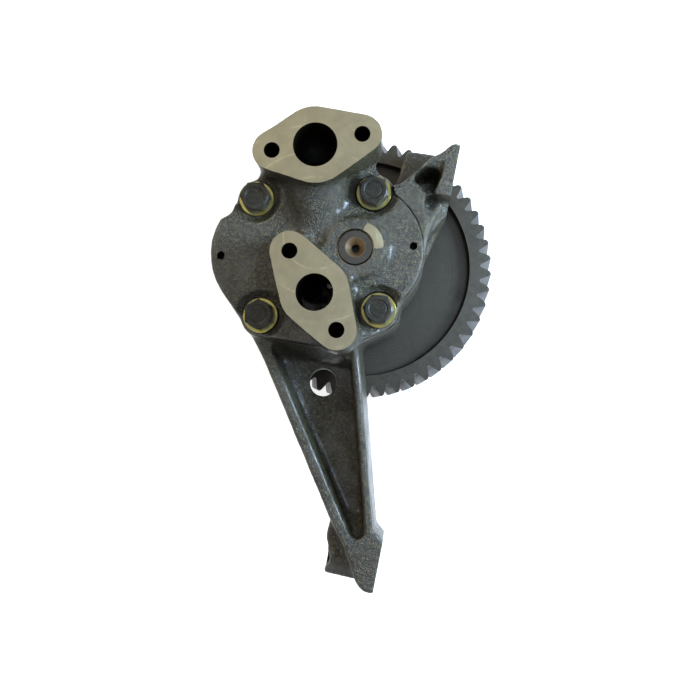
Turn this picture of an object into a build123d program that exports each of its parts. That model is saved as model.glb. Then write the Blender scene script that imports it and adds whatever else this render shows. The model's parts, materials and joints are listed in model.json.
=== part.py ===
from build123d import *

import math
import os

# Engine oil pump: an external-gear pump in a cast-iron housing, driven by a large helical gear.
#
# Frame: the origin is on the drive shaft's axis, in the drive gear's back face. +Z runs along the
# shaft toward the ported cover. +X is the outward normal of the two mounting pads. Millimetres.
# The pump itself is drawn in its own directions (u, v): u runs from the idler gear to the driver
# gear, and PUMP_ANGLE turns it into the frame.

# ---- pumping gears ------------------------------------------------------------------------------
PUMP_MODULE = 4.5
PUMP_TEETH = 11
PUMP_PRESSURE_ANGLE = 25.0
GEAR_CENTRES = PUMP_MODULE * PUMP_TEETH
PUMP_ANGLE = 13.5
BACKLASH = 0.16
TIP_CLEARANCE = 0.08
SIDE_CLEARANCE = 0.05

# ---- drive gear ---------------------------------------------------------------------------------
DRIVE_MODULE = 3.5
DRIVE_TEETH = 51
DRIVE_PRESSURE_ANGLE = 25.0
DRIVE_WIDTH = 25.0
DRIVE_BACKLASH = 0.12
TIP_CROWN = 0.8
HELIX_SHIFT = 6.7
FRONT_TIP_CHAMFER = 1.4
BACK_TIP_CHAMFER = 0.6
RIM_INNER_R = 77.5
WEB_THICKNESS = 9.0
HUB_R = 27.0
HUB_FRONT = 26.0
# The front face's tooth that stands beside the inlet flange fixes the gear's angle at rest.
DRIVE_FIRST_TOOTH = 85.95

# ---- levels along the shaft ---------------------------------------------------------------------
BODY_BACK = 28.0
POCKET_FLOOR = 42.0
JOINT_FACE = 86.0
BOLT_SEAT = 93.0
COVER_FRONT = 98.0
SHAFT_BOSS_TOP = 104.0
FLANGE_FACE = 122.0

# ---- shafts and bushes --------------------------------------------------------------------------
SHAFT_R = 11.0
RUNNING_CLEARANCE = 0.03
BUSH_WALL = 2.5
HUB_SEAT_R = 10.0
THREAD_R = 8.0
IDLER_SHAFT_R = 9.0
BOSS_MOUTH_R = 11.7

# ---- cover --------------------------------------------------------------------------------------
END_R = 42.8
IDLER_END_R = 43.4
BOLT_HALF = 37.5
BOLT_OFFSET_V = -1.5
BOLT_BOSS_R = 12.9
BOLT_R = 5.0
BOLT_HOLE_R = 5.5
DOWEL_HALF = 61.1
DOWEL_R = 2.45
DOWEL_SUNK = 7.0
MID_U = -GEAR_CENTRES / 2
NOTCH_ROUND = 6.0
SCALLOP_FLARE = 3.2
LOBE_R = 9.5
CORNER_U, CORNER_V, CORNER_R = -71.0, -35.6, 6.0
RELIEF_U, RELIEF_V, RELIEF_R = -86.0, 34.2, 9.6
PLATE_ROUND = 1.2

# ---- ports --------------------------------------------------------------------------------------
FLANGE_HOLE_HALF = 28.0
FLANGE_HOLE_R = 4.9
FLANGE_HOLE_DEPTH = 22.0
# Each flange is placed by the middle between its two bolts. Its cast bore lies a little off it.
INLET_U, INLET_V, INLET_ANGLE = -20.0, 62.2, 7.1
INLET_BORE = (-1.3, -1.25)
INLET_BORE_R, INLET_CENTRE_R, INLET_END_R = 13.6, 23.7, 12.1
INLET_TURN_Z = 109.0
OUTLET_U, OUTLET_V, OUTLET_ANGLE = -25.7, -28.3, -61.6
OUTLET_BORE = (1.5, 0.2)
OUTLET_BORE_R, OUTLET_CENTRE_R, OUTLET_END_R = 11.4, 21.3, 12.3
PASSAGE_R = 10.0
CHAMBER_HALF_U, CHAMBER_HALF_V = 12.5, 33.0

# ---- mounting pads ------------------------------------------------------------------------------
PAD_FACE_X = 52.3
PAD_BOLT_R = 5.5
RIB_TOP = 82.0
RIB_BACK = 34.0
WEB_TOP = 60.0
WEB_BACK = 51.0
FOOT_BOLT_Y, FOOT_BOLT_Z = -199.5, 52.0
FOOT_BOSS_R = 8.8
EAR_BOLT_Y, EAR_BOLT_Z = 55.0, 60.0
EAR_SPOT_R, EAR_SPOT_X = 8.5, 44.0
CAST_ROUND = 1.8
THIN_ROUND = 0.9

PUMP = Rot(0, 0, PUMP_ANGLE)


# ---- helpers ------------------------------------------------------------------------------------
def prism(outline, low, high):
    """Extrude a flat outline between two levels."""
    return Pos(0, 0, low) * extrude(outline, amount=high - low, dir=(0, 0, 1))


def drafted(outline, low, high, draft):
    """Extrude a flat outline that widens by the draft toward its lower level."""
    foot = Pos(0, 0, low) * offset(outline, draft, kind=Kind.INTERSECTION)
    return loft([foot.face(), (Pos(0, 0, high) * outline).face()], ruled=True)


def post(x, y, radius, low, high):
    """Make a round post standing between two levels."""
    return Pos(x, y, low) * Cylinder(radius, high - low, align=(Align.CENTER, Align.CENTER, Align.MIN))


def rod_x(radius, low, high, y, z):
    """Make a round bar lying along X."""
    bar = Cylinder(radius, high - low, align=(Align.CENTER, Align.CENTER, Align.MIN))
    return Pos(low, y, z) * Rot(0, 90, 0) * bar


def soft(points, radius):
    """Draw a closed outline through points, with inner and outer corners rounded."""
    outline = Polygon(*points, align=None)
    grown = offset(outline, radius)
    shrunk = offset(grown, -2 * radius)
    return offset(shrunk, radius)


def ease(solid, edges, radius):
    """Round some edges of a solid."""
    return fillet(edges, radius) if edges else solid


def ease_top(solid, radius):
    """Round the edges around the highest face."""
    return ease(solid, solid.edges().group_by(Axis.Z)[-1], radius)


def disc(u, v, radius):
    """Draw a circle in the pump's directions."""
    return Pos(u, v) * Circle(radius)


def hull(*discs):
    """Draw the tight band around some circles."""
    return make_hull([edge for circle in discs for edge in circle.edges()])


def bolt_places():
    """List the four cover bolts as (u, v)."""
    signs = ((-1, 1), (1, 1), (-1, -1), (1, -1))
    return [(MID_U + a * BOLT_HALF, BOLT_OFFSET_V + b * BOLT_HALF) for a, b in signs]


def outlet_low_end():
    """Return the (u, v) of the outlet flange's lower bolt."""
    u, v = polar(FLANGE_HOLE_HALF, math.radians(OUTLET_ANGLE))
    return (OUTLET_U + u, OUTLET_V + v)


def dowel_places():
    """List the two dowels as (u, v)."""
    return [(MID_U - DOWEL_HALF, 0), (MID_U + DOWEL_HALF, 0)]


# ---- gear outlines ------------------------------------------------------------------------------
def half_tooth_angle(radius, module, teeth, pressure_angle, backlash):
    """Return the angle in radians from a tooth's middle to its involute flank at a radius."""
    pitch_r = module * teeth / 2
    base_r = pitch_r * math.cos(math.radians(pressure_angle))
    pitch_alpha = math.radians(pressure_angle)
    alpha = math.acos(min(1.0, base_r / radius))
    half_at_pitch = math.pi / (2 * teeth) - backlash / (4 * pitch_r)
    return half_at_pitch + (math.tan(pitch_alpha) - pitch_alpha) - (math.tan(alpha) - alpha)


def polar(radius, angle):
    """Place a point by radius and angle in radians."""
    return (radius * math.cos(angle), radius * math.sin(angle))


def gear_outline(module, teeth, pressure_angle, backlash, crown, first_angle=0.0):
    """Draw a spur gear section, with a tooth's middle at first_angle and tips crowned by crown."""
    pitch_r = module * teeth / 2
    tip_r = pitch_r + module
    root_r = pitch_r - 1.22 * module
    base_r = pitch_r * math.cos(math.radians(pressure_angle))
    low_r = max(root_r + 0.25 * module, base_r + 0.01 * module)
    flank = [low_r, (low_r + tip_r) / 2, tip_r - crown]
    half = [half_tooth_angle(r, module, teeth, pressure_angle, backlash) for r in flank]
    edges = []
    for tooth in range(teeth):
        middle = math.radians(first_angle) + tooth * math.tau / teeth
        next_middle = middle + math.tau / teeth
        rising = [polar(r, middle - h) for r, h in zip(flank, half)]
        falling = [polar(r, middle + h) for r, h in zip(flank, half)]
        next_rise = polar(flank[0], next_middle - half[0])
        edges.append(ThreePointArc(*rising))
        edges.append(ThreePointArc(rising[2], polar(tip_r, middle), falling[2]))
        edges.append(ThreePointArc(falling[2], falling[1], falling[0]))
        edges.append(ThreePointArc(falling[0], polar(root_r, (middle + next_middle) / 2), next_rise))
    return make_face(edges)


def pump_gear(first_angle, bore_r):
    """Make one pumping gear around the Z axis."""
    outline = gear_outline(PUMP_MODULE, PUMP_TEETH, PUMP_PRESSURE_ANGLE, BACKLASH, 0.02, first_angle)
    low = POCKET_FLOOR + SIDE_CLEARANCE
    high = JOINT_FACE - SIDE_CLEARANCE
    return prism(outline, low, high) - post(0, 0, bore_r, low, high)


# ---- rotor --------------------------------------------------------------------------------------
KEY_WIDTH = 6.0
NUT_AF = 24.0
NUT_BACK, NUT_FRONT = 1.0, 9.0
LOCK_WASHER_FRONT = 10.5
SHAFT_BACK = 0.6
SHAFT_FRONT = SHAFT_BOSS_TOP - 0.3


def key_slot(low, high, middle_r):
    """Make the bar that fills a keyway, on the +X side of the shaft."""
    bar = Box(KEY_WIDTH, KEY_WIDTH, high - low, align=(Align.CENTER, Align.CENTER, Align.MIN))
    return Pos(middle_r, 0, low) * bar


def hub_key():
    """Make the drive gear's key."""
    return key_slot(12.0, 24.0, HUB_SEAT_R)


def rotor_key():
    """Make the driver gear's key."""
    return key_slot(POCKET_FLOOR + 8, JOINT_FACE - 8, SHAFT_R)


def drive_shaft():
    """Make the shaft, with its threaded tail, keyways and centre-drilled front end."""
    shaft = post(0, 0, SHAFT_R, HUB_FRONT, SHAFT_FRONT)
    shaft += post(0, 0, HUB_SEAT_R, LOCK_WASHER_FRONT, HUB_FRONT)
    shaft += post(0, 0, THREAD_R, SHAFT_BACK, LOCK_WASHER_FRONT)
    front = shaft.edges().group_by(Axis.Z)[-1]
    shaft = chamfer(front, 0.5)
    back = shaft.edges().group_by(Axis.Z)[0]
    shaft = chamfer(back, 1.0)
    cone_depth, cone_r, pilot_r = 5.4, 6.2, 2.2
    cone = Cone(pilot_r, cone_r, cone_depth, align=(Align.CENTER, Align.CENTER, Align.MIN))
    shaft -= Pos(0, 0, SHAFT_FRONT - cone_depth) * cone
    shaft -= post(0, 0, pilot_r, SHAFT_FRONT - 11, SHAFT_FRONT - 5)
    return shaft - hub_key() - rotor_key()


def drive_gear_blank():
    """Make the turned blank whose chamfers cut back the ends of the teeth."""
    tip_r = DRIVE_MODULE * (DRIVE_TEETH + 2) / 2
    blank = post(0, 0, tip_r + 0.01, 0, DRIVE_WIDTH)
    blank = chamfer(blank.edges().group_by(Axis.Z)[-1], FRONT_TIP_CHAMFER)
    return chamfer(blank.edges().group_by(Axis.Z)[0], BACK_TIP_CHAMFER)


def drive_gear():
    """Make the helical drive gear: toothed rim, thin web and keyed hub."""
    outline = gear_outline(
        DRIVE_MODULE, DRIVE_TEETH, DRIVE_PRESSURE_ANGLE, DRIVE_BACKLASH, TIP_CROWN, DRIVE_FIRST_TOOTH
    )
    twist = math.degrees(HELIX_SHIFT / (DRIVE_MODULE * (DRIVE_TEETH + 2) / 2))
    # The twist is over half a pitch, so a section halfway keeps each tooth joined to itself.
    shares = (0, 0.5, 1)
    sections = [Pos(0, 0, DRIVE_WIDTH * s) * Rot(0, 0, twist * (s - 1)) * outline for s in shares]
    gear = loft([section.face() for section in sections], ruled=True) & drive_gear_blank()
    web_back = (DRIVE_WIDTH - WEB_THICKNESS) / 2
    web_front = web_back + WEB_THICKNESS
    for low, high, floor_end in ((0, web_back, -1), (web_front, DRIVE_WIDTH, 0)):
        recess = post(0, 0, RIM_INNER_R, low, high) - post(0, 0, HUB_R, low, high)
        floor = recess.edges().group_by(Axis.Z)[floor_end]
        gear -= ease(recess, floor, 2.0)
    gear += post(0, 0, HUB_R, DRIVE_WIDTH, HUB_FRONT)
    gear -= post(0, 0, HUB_SEAT_R, -1, HUB_FRONT + 1)
    gear -= post(0, 0, 17.0, -1, LOCK_WASHER_FRONT)
    return gear - PUMP * hub_key()


def drive_gear_nut():
    """Make the hexagon nut that clamps the drive gear."""
    nut = prism(RegularPolygon(NUT_AF / 2, 6, major_radius=False), NUT_BACK, NUT_FRONT)
    outer_r, crown, slant = NUT_AF * 0.62, 1.2, 2.0
    cap = post(0, 0, outer_r, NUT_BACK + crown, NUT_FRONT)
    cone = Cone(outer_r - 2 * slant, outer_r, slant, align=(Align.CENTER, Align.CENTER, Align.MAX))
    cap += Pos(0, 0, NUT_BACK + crown) * cone
    return (nut & cap) - post(0, 0, THREAD_R, 0, NUT_FRONT + 1)


def lock_washer():
    """Make the washer between nut and gear, with one tab bent onto the nut."""
    washer = post(0, 0, 15.5, NUT_FRONT, LOCK_WASHER_FRONT)
    tab = Box(1.4, 8, 5.5, align=(Align.MIN, Align.CENTER, Align.MIN))
    washer += Rot(0, 0, 90) * Pos(NUT_AF / 2 + 0.05, 0, NUT_FRONT - 5) * tab
    return washer - post(0, 0, THREAD_R, 0, LOCK_WASHER_FRONT + 1)


def thrust_washer():
    """Make the thrust washer between the drive gear's hub and the housing."""
    high = BODY_BACK - 0.1
    return post(0, 0, 19, HUB_FRONT, high) - post(0, 0, SHAFT_R, HUB_FRONT - 1, high + 1)


# ---- housing outline ----------------------------------------------------------------------------
def housing_outline(margin):
    """Draw the outline shared by cover and housing, in the pump's directions."""
    boss_r = BOLT_BOSS_R + margin
    upper_left, upper_right, lower_left, lower_right = [disc(u, v, boss_r) for u, v in bolt_places()]
    idler_end = disc(-GEAR_CENTRES, 0, IDLER_END_R + margin)
    outline = disc(0, 0, END_R + margin) + idler_end
    outline += hull(idler_end, disc(CORNER_U, CORNER_V, CORNER_R + margin))
    outline += hull(upper_left, upper_right)
    outline += hull(lower_left, disc(*outlet_low_end(), margin + LOBE_R), lower_right)
    outline += Pos(MID_U, BOLT_OFFSET_V) * Rectangle(GEAR_CENTRES, 2 * BOLT_HALF)
    outline -= disc(RELIEF_U, RELIEF_V, RELIEF_R - margin)
    return offset(offset(outline, NOTCH_ROUND), -NOTCH_ROUND)


def flange_outline(bore, centre_r, end_r):
    """Draw a two-bolt flange outline, with the bolts along X and its middle part about the bore."""
    ends = [disc(x, 0, end_r) for x in (-FLANGE_HOLE_HALF, FLANGE_HOLE_HALF)]
    return hull(disc(*bore, centre_r), *ends)


def flange_cuts(bore, bore_r, bore_low):
    """Make a flange's bore and its two blind drillings."""
    cuts = post(*bore, bore_r, bore_low, FLANGE_FACE + 1)
    for x in (-FLANGE_HOLE_HALF, FLANGE_HOLE_HALF):
        cuts += post(x, 0, FLANGE_HOLE_R, FLANGE_FACE - FLANGE_HOLE_DEPTH, FLANGE_FACE + 1)
    return cuts


# ---- cover --------------------------------------------------------------------------------------
def cover_plate():
    """Make the cover's plate, scalloped down to a seat around each bolt."""
    plate = ease_top(prism(housing_outline(0.0), JOINT_FACE, COVER_FRONT), PLATE_ROUND)
    for u, v in bolt_places():
        rise = COVER_FRONT - BOLT_SEAT + 0.5
        mouth_r = BOLT_BOSS_R + SCALLOP_FLARE
        scallop = Cone(BOLT_BOSS_R, mouth_r, rise, align=(Align.CENTER, Align.CENTER, Align.MIN))
        plate -= Pos(u, v, BOLT_SEAT) * scallop
    return plate


def shaft_boss():
    """Make the raised boss around the shaft's front end, flared into the plate."""
    top_r, flare = 19.2, 4.0
    base = COVER_FRONT - 1
    boss = post(0, 0, top_r, base, SHAFT_BOSS_TOP)
    skirt = Cone(top_r + flare, top_r, flare + 1, align=(Align.CENTER, Align.CENTER, Align.MIN))
    return ease_top(boss, 1.0) + Pos(0, 0, base) * skirt


def inlet_place():
    """Return the place of the inlet's flange."""
    return Pos(INLET_U, INLET_V) * Rot(0, 0, INLET_ANGLE)


def outlet_place():
    """Return the place of the outlet's flange."""
    return Pos(OUTLET_U, OUTLET_V) * Rot(0, 0, OUTLET_ANGLE)


def inlet_port():
    """Make the inlet's flanged column and the neck that leans from it into the cover."""
    column_low, column_round = 88.0, 5.0
    column = prism(flange_outline(INLET_BORE, INLET_CENTRE_R, INLET_END_R), column_low, FLANGE_FACE)
    bottom = column.edges().group_by(Axis.Z)[0]
    column = inlet_place() * ease(column, bottom, column_round)
    start = Vector(INLET_U - 1, INLET_V - 4.6, 101)
    end = Vector(MID_U, 15, 83)
    start_r, end_r = 21.0, 18.5
    neck_plane = Plane(origin=start, z_dir=end - start)
    neck = Cone(start_r, end_r, (end - start).length, align=(Align.CENTER, Align.CENTER, Align.MIN))
    neck = neck_plane * neck + Pos(end) * Sphere(end_r)
    neck -= Pos(MID_U, 30, 0) * Box(120, 160, 2 * (JOINT_FACE + 1))
    return column + neck


def outlet_port():
    """Make the outlet's flanged column, flared a little at its foot."""
    outline = flange_outline(OUTLET_BORE, OUTLET_CENTRE_R, OUTLET_END_R)
    column = prism(outline, COVER_FRONT - 8, FLANGE_FACE)
    flare = 1.6
    wide = Pos(0, 0, COVER_FRONT - 2) * offset(outline, flare)
    skirt = loft([wide, Pos(0, 0, COVER_FRONT + 3 * flare) * outline])
    return outlet_place() * (column + skirt)


def inlet_passage():
    """Make the slanting passage from the inlet's bore down to the gear chamber."""
    bore_u, bore_v, _ = tuple((inlet_place() * Pos(*INLET_BORE)).position)
    start = Vector(bore_u, bore_v, INLET_TURN_Z)
    end = Vector(MID_U, 22, JOINT_FACE)
    along = Plane(origin=start, z_dir=end - start)
    passage = along * Cylinder(PASSAGE_R, (end - start).length, align=(Align.CENTER, Align.CENTER, Align.MIN))
    passage += Pos(start) * Sphere(INLET_BORE_R)
    return passage + post(MID_U, 22, PASSAGE_R, JOINT_FACE - 1, JOINT_FACE + 5)


def port_cuts():
    """Make the passages that are cut from the ported cover."""
    cuts = inlet_place() * flange_cuts(INLET_BORE, INLET_BORE_R, INLET_TURN_Z)
    cuts += outlet_place() * flange_cuts(OUTLET_BORE, OUTLET_BORE_R, JOINT_FACE - 6)
    return cuts + inlet_passage()


def pump_cover():
    """Make the ported cover in one casting."""
    cover = cover_plate() + shaft_boss() + outlet_port() + inlet_port()
    cover -= port_cuts()
    cover -= post(0, 0, BOSS_MOUTH_R, 90, SHAFT_BOSS_TOP + 1)
    cover -= post(0, 0, SHAFT_R + BUSH_WALL, JOINT_FACE - 1, SHAFT_BOSS_TOP - 3)
    cover -= post(-GEAR_CENTRES, 0, IDLER_SHAFT_R, JOINT_FACE - 1, 95)
    for u, v in bolt_places():
        cover -= post(u, v, BOLT_HOLE_R, JOINT_FACE - 1, BOLT_SEAT + 1)
    for u, v in dowel_places():
        cover -= post(u, v, DOWEL_R, JOINT_FACE - 1, COVER_FRONT + 1)
    return PUMP * cover


# ---- housing ------------------------------------------------------------------------------------
def housing_shell():
    """Make the gear chamber's block, before it is bored."""
    block = prism(housing_outline(0.9), BODY_BACK, JOINT_FACE)
    return ease(block, block.edges().group_by(Axis.Z)[0], 3.0)


def housing_cuts():
    """Make everything that is bored out of the gear chamber."""
    pocket_r = PUMP_MODULE * (PUMP_TEETH + 2) / 2 + TIP_CLEARANCE
    cuts = post(0, 0, pocket_r, POCKET_FLOOR, JOINT_FACE + 1)
    cuts += post(-GEAR_CENTRES, 0, pocket_r, POCKET_FLOOR, JOINT_FACE + 1)
    chamber = Pos(MID_U, 0) * RectangleRounded(2 * CHAMBER_HALF_U, 2 * CHAMBER_HALF_V, 11)
    cuts += prism(chamber, POCKET_FLOOR, JOINT_FACE + 1)
    cuts += post(0, 0, SHAFT_R + BUSH_WALL, BODY_BACK - 1, POCKET_FLOOR + 1)
    cuts += post(-GEAR_CENTRES, 0, IDLER_SHAFT_R, BODY_BACK + 3, POCKET_FLOOR + 1)
    for u, v in bolt_places():
        cuts += post(u, v, BOLT_R, JOINT_FACE - 28, JOINT_FACE + 1)
    for u, v in dowel_places():
        cuts += post(u, v, DOWEL_R, JOINT_FACE - 12, JOINT_FACE + 1)
    return cuts


# ---- leg and foot -------------------------------------------------------------------------------
LEFT_RIB_OUTER = ((-60.0, -62.0), (-47.5, -77.3), (-43.2, -83.4), (16.4, -170.6))
LEFT_RIB_TAIL = ((29.4, -187.4), (34.0, -182.0))
LEFT_RIB_INNER_TOP = (-49.8, -60.0)
LEFT_RIB_THICKNESS = 7.7
RIGHT_RIB_OUTER = ((9.6, -50.0), (18.9, -80.0), (41.2, -159.8))
RIGHT_RIB_TAIL = ((44.9, -173.4), (46.0, -178.0), (40.0, -178.0))
RIGHT_RIB_THICKNESS = 5.2
RIB_DRAFT = 1.4
RIB_ROUND = 1.6
WEB_HOLE_X, WEB_HOLE_Y, WEB_HOLE_R = -7.3, -86.2, 9.2


def beside(start, end, distance):
    """Move a line to its left, and return its two new ends."""
    length = math.dist(start, end)
    step_x = -(end[1] - start[1]) * distance / length
    step_y = (end[0] - start[0]) * distance / length
    return (start[0] + step_x, start[1] + step_y), (end[0] + step_x, end[1] + step_y)


def left_rib():
    """Draw the left rib, seen along the shaft, down to the lug under the foot."""
    inner_end = beside(*LEFT_RIB_OUTER[-2:], LEFT_RIB_THICKNESS)[1]
    return Polygon(*LEFT_RIB_OUTER, *LEFT_RIB_TAIL, inner_end, LEFT_RIB_INNER_TOP, align=None)


def right_rib():
    """Draw the right rib, seen along the shaft, down to the foot's pad."""
    inner_top, inner_bend = beside(*RIGHT_RIB_OUTER[:2], -RIGHT_RIB_THICKNESS)
    inner_end = beside(*RIGHT_RIB_OUTER[1:], -RIGHT_RIB_THICKNESS)[1]
    return Polygon(*RIGHT_RIB_OUTER, *RIGHT_RIB_TAIL, inner_end, inner_bend, inner_top, align=None)


def foot_ramp():
    """Make the slope that closes the channel, from the web up to the foot."""
    rise_y, top_y, back_y = -163.0, -188.0, -190.0
    profile = Polygon(
        (rise_y, WEB_TOP - 1), (top_y, RIB_TOP - 1), (back_y, RIB_TOP - 1), (back_y, WEB_BACK),
        (rise_y, WEB_BACK), align=None,
    )
    between_ribs = Polygon(
        (19.5, rise_y), (39.0, rise_y), (42.0, -176.0), (34.0, top_y), (29.8, top_y), align=None
    )
    return extrude(Plane.YZ * profile, amount=60) & prism(between_ribs, WEB_BACK, RIB_TOP)


def leg():
    """Make the tapering channel: two ribs, the web between them and its round window."""
    foot_end = ((30, -187), (36, -186), (44, -172))
    web = Polygon(*LEFT_RIB_OUTER, *foot_end, *RIGHT_RIB_OUTER[::-1], (-20, -40), align=None)
    solid = prism(web, WEB_BACK, WEB_TOP) + foot_ramp()
    for outline in (left_rib(), right_rib()):
        solid += ease_top(drafted(outline, RIB_BACK, RIB_TOP, RIB_DRAFT), RIB_ROUND)
    return solid - post(WEB_HOLE_X, WEB_HOLE_Y, WEB_HOLE_R, WEB_BACK - 1, WEB_TOP + 1)


def shoulder():
    """Make the sloping shoulder under the gear chamber, between the leg's ribs."""
    inner_y, crest_y, toe_y, low = -48, -63, -74, WEB_BACK - 9
    profile = Polygon(
        (inner_y, JOINT_FACE), (crest_y, JOINT_FACE), (toe_y, WEB_TOP), (toe_y, low), (inner_y, low),
        align=None,
    )
    left_x, width = -40, 52
    return Pos(left_x, 0, 0) * extrude(Plane.YZ * profile, amount=width)


def foot():
    """Make the foot: its pad, the lug under it and the bolt hole along X."""
    pad = soft([
        (41.0, -175.6), (45.5, -173.0), (49.5, -174.6), (51.6, -177.2), (PAD_FACE_X, -180),
        (PAD_FACE_X, -211.2), (49.4, -211.6), (46.2, -211.3), (43.6, -209.6), (39.7, -205.8),
        (36.2, -199.6), (32.6, -193.5), (29.2, -188.0), (32.0, -183.5), (36.0, -180.0)], THIN_ROUND)
    solid = ease_top(prism(pad, RIB_BACK, RIB_TOP), RIB_ROUND)
    lug_low, lug_high = RIB_BACK + 2, FOOT_BOLT_Z + 5
    lug = soft([
        (15.6, -170), (14.7, -183.2), (15.8, -188.6), (17.3, -190.7), (17.7, -199.5), (18.0, -209.6),
        (PAD_FACE_X - 4, -209.6), (PAD_FACE_X - 4, -176), (30, -168)], THIN_ROUND)
    solid += ease_top(prism(lug, lug_low, lug_high), 1.6)
    solid += rod_x(FOOT_BOSS_R, 20.4, PAD_FACE_X - 1, FOOT_BOLT_Y, FOOT_BOLT_Z)
    return solid - rod_x(PAD_BOLT_R, 10, PAD_FACE_X + 2, FOOT_BOLT_Y, FOOT_BOLT_Z)


# ---- ear ----------------------------------------------------------------------------------------
EAR_FLOOR = 44.0
EAR_ARM_TOP = 96.5
EAR_CREST_TOP = 92.0
EAR_BLOCK_TOP = 66.0
EAR_POCKET_FLOOR = 50.0
# The thin crest of the ear's upper wall, from the cover's edge out to the horn.
EAR_CREST = (
    (14.8, 43.0), (18.5, 50.6), (22.3, 54.8), (28.9, 62.3), (32.3, 67.5), (35.9, 71.8), (42.1, 76.5),
    (44.2, 79.6), (46.4, 82.3),
)


def ear_floor():
    """Make the ear's thin floor plate, which stands out past the upper wall."""
    outline = soft([
        (0, 40), (12.0, 55.4), (14.7, 63.1), (15.3, 71.1), (17.2, 83.8), (35, 84.7), (48, 84.0),
        (PAD_FACE_X - 1.5, 80), (PAD_FACE_X - 1.5, 38), (42, 0), (20, 0)], THIN_ROUND / 2)
    return ease_top(prism(outline, RIB_BACK, EAR_FLOOR), 0.8)


def ear_pocket():
    """Make the space for the bolt's head: a deep slot with one sloping side."""
    slot = soft([
        (24.6, 54.5), (28.0, 59.9), (31.2, 64.0), (35.7, 65.5), (39.7, 65.6), (43.0, 64.1),
        (43.6, 59.5), (42.3, 53.8), (41.4, 49.0), (42.3, 44.0), (41.6, 38.0), (40.6, 33.0),
        (38.9, 33.5), (36.7, 39.0), (36.4, 46.0), (34.2, 50.0), (30.6, 52.5)], THIN_ROUND)
    deep = prism(slot, EAR_POCKET_FLOOR, EAR_ARM_TOP)
    slope_low, slope_high = 77.5, RIB_TOP + 1
    low = Polygon((30, 62), (35.7, 65), (39.7, 65.2), (43.2, 63), (43.4, 58), (36, 56), align=None)
    high = Polygon((32, 65.2), (36.2, 70.4), (41.6, 74.6), (44.8, 77), (44, 58), (36, 56), align=None)
    slope = [(Pos(0, 0, slope_low) * low).face(), (Pos(0, 0, slope_high) * high).face()]
    return deep + loft(slope, ruled=True)


def ear_arm():
    """Draw the arm that is level with the cover's front, from the cover's edge to the pocket."""
    return soft([
        (2, 42), (15, 43.0), (19.3, 46.8), (24.6, 49.4), (30.8, 47.6), (34.6, 44.4), (36.7, 41.0),
        (36.9, 36.0), (39.0, 31.1), (41.3, 26.0), (41.1, 18.4), (41.5, 6.2), (41.8, -2),
        (20, -2)], THIN_ROUND)


def ear():
    """Make the upper bracket: floor plate, walls around a pocket, arm and mounting pad."""
    walls = soft([
        *EAR_CREST, (48.9, 83.3), (51.5, 83.3), (PAD_FACE_X, 82.0), (PAD_FACE_X, 47.3), (41.6, 47.3),
        (40, 20), (20, 10)], THIN_ROUND)
    block = soft([
        (34, 20), (44.0, 23.9), (45.9, 28.4), (50.5, 36.5), (51.7, 39.1), (PAD_FACE_X, 44.0),
        (PAD_FACE_X, 60.0), (38, 60)], CAST_ROUND)
    crest = soft([
        (44.1, -4.2), (43.5, 2.2), (43.0, 10.0), (42.9, 20.0), (44.1, 28.0), (45.2, 32.6), (47.3, 37.0),
        (48.4, 40.6), (46.0, 41.0), (43.2, 36.7), (41.0, 26.0), (38, 10), (38, -4.2)], THIN_ROUND)
    solid = ear_floor()
    solid += ease_top(prism(walls, RIB_BACK, RIB_TOP), 1.0)
    solid += ease_top(prism(block, RIB_BACK, EAR_BLOCK_TOP), 3.0)
    solid -= ear_pocket()
    solid += ease_top(prism(ear_arm(), EAR_FLOOR - 2, EAR_ARM_TOP), 0.8)
    solid += ease_top(prism(crest, EAR_FLOOR - 2, EAR_CREST_TOP), 1.0)
    solid -= rod_x(EAR_SPOT_R, 37, EAR_SPOT_X, EAR_BOLT_Y, EAR_BOLT_Z)
    return solid - rod_x(PAD_BOLT_R, 37, PAD_FACE_X + 2, EAR_BOLT_Y, EAR_BOLT_Z)


def pump_body():
    """Make the housing casting with its leg, foot and ear."""
    solid = PUMP * housing_shell()
    solid += leg()
    solid += shoulder()
    solid += foot()
    solid += ear()
    solid -= prism(PUMP * housing_outline(0.35), JOINT_FACE, EAR_ARM_TOP + 5)
    return solid - PUMP * housing_cuts()


# ---- bearings, idler and fasteners --------------------------------------------------------------
def bush(low, high, bore_r, wall):
    """Make a plain bearing bush around the Z axis."""
    return post(0, 0, bore_r + wall, low, high) - post(0, 0, bore_r, low - 1, high + 1)


def shaft_bush(low, high):
    """Make one of the two bushes that the drive shaft turns in."""
    return bush(low, high, SHAFT_R + RUNNING_CLEARANCE, BUSH_WALL - RUNNING_CLEARANCE)


def idler_gear():
    """Make the idler gear, with a tooth turned toward the driver gear's gap."""
    bore_r = IDLER_SHAFT_R + RUNNING_CLEARANCE + 2.0
    return PUMP * Pos(-GEAR_CENTRES, 0, 0) * pump_gear(0.0, bore_r)


def idler_bush():
    """Make the bush pressed into the idler gear."""
    low = POCKET_FLOOR + SIDE_CLEARANCE
    high = JOINT_FACE - SIDE_CLEARANCE
    return PUMP * Pos(-GEAR_CENTRES, 0, 0) * bush(low, high, IDLER_SHAFT_R + RUNNING_CLEARANCE, 2.0)


def idler_shaft():
    """Make the fixed pin that the idler gear turns on."""
    pin = post(0, 0, IDLER_SHAFT_R, BODY_BACK + 3, 95)
    return PUMP * Pos(-GEAR_CENTRES, 0, 0) * chamfer(pin.edges().group_by(Axis.Z)[-1], 1.0)


HEAD_AF = 17.0
HEAD_HEIGHT = 6.4
WASHER_R, WASHER_HEIGHT = 11.2, 1.9
SPRING_R, SPRING_HEIGHT = 9.2, 2.2
HEAD_TURNS = (56.0, 38.0, 28.0, 52.0)


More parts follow.
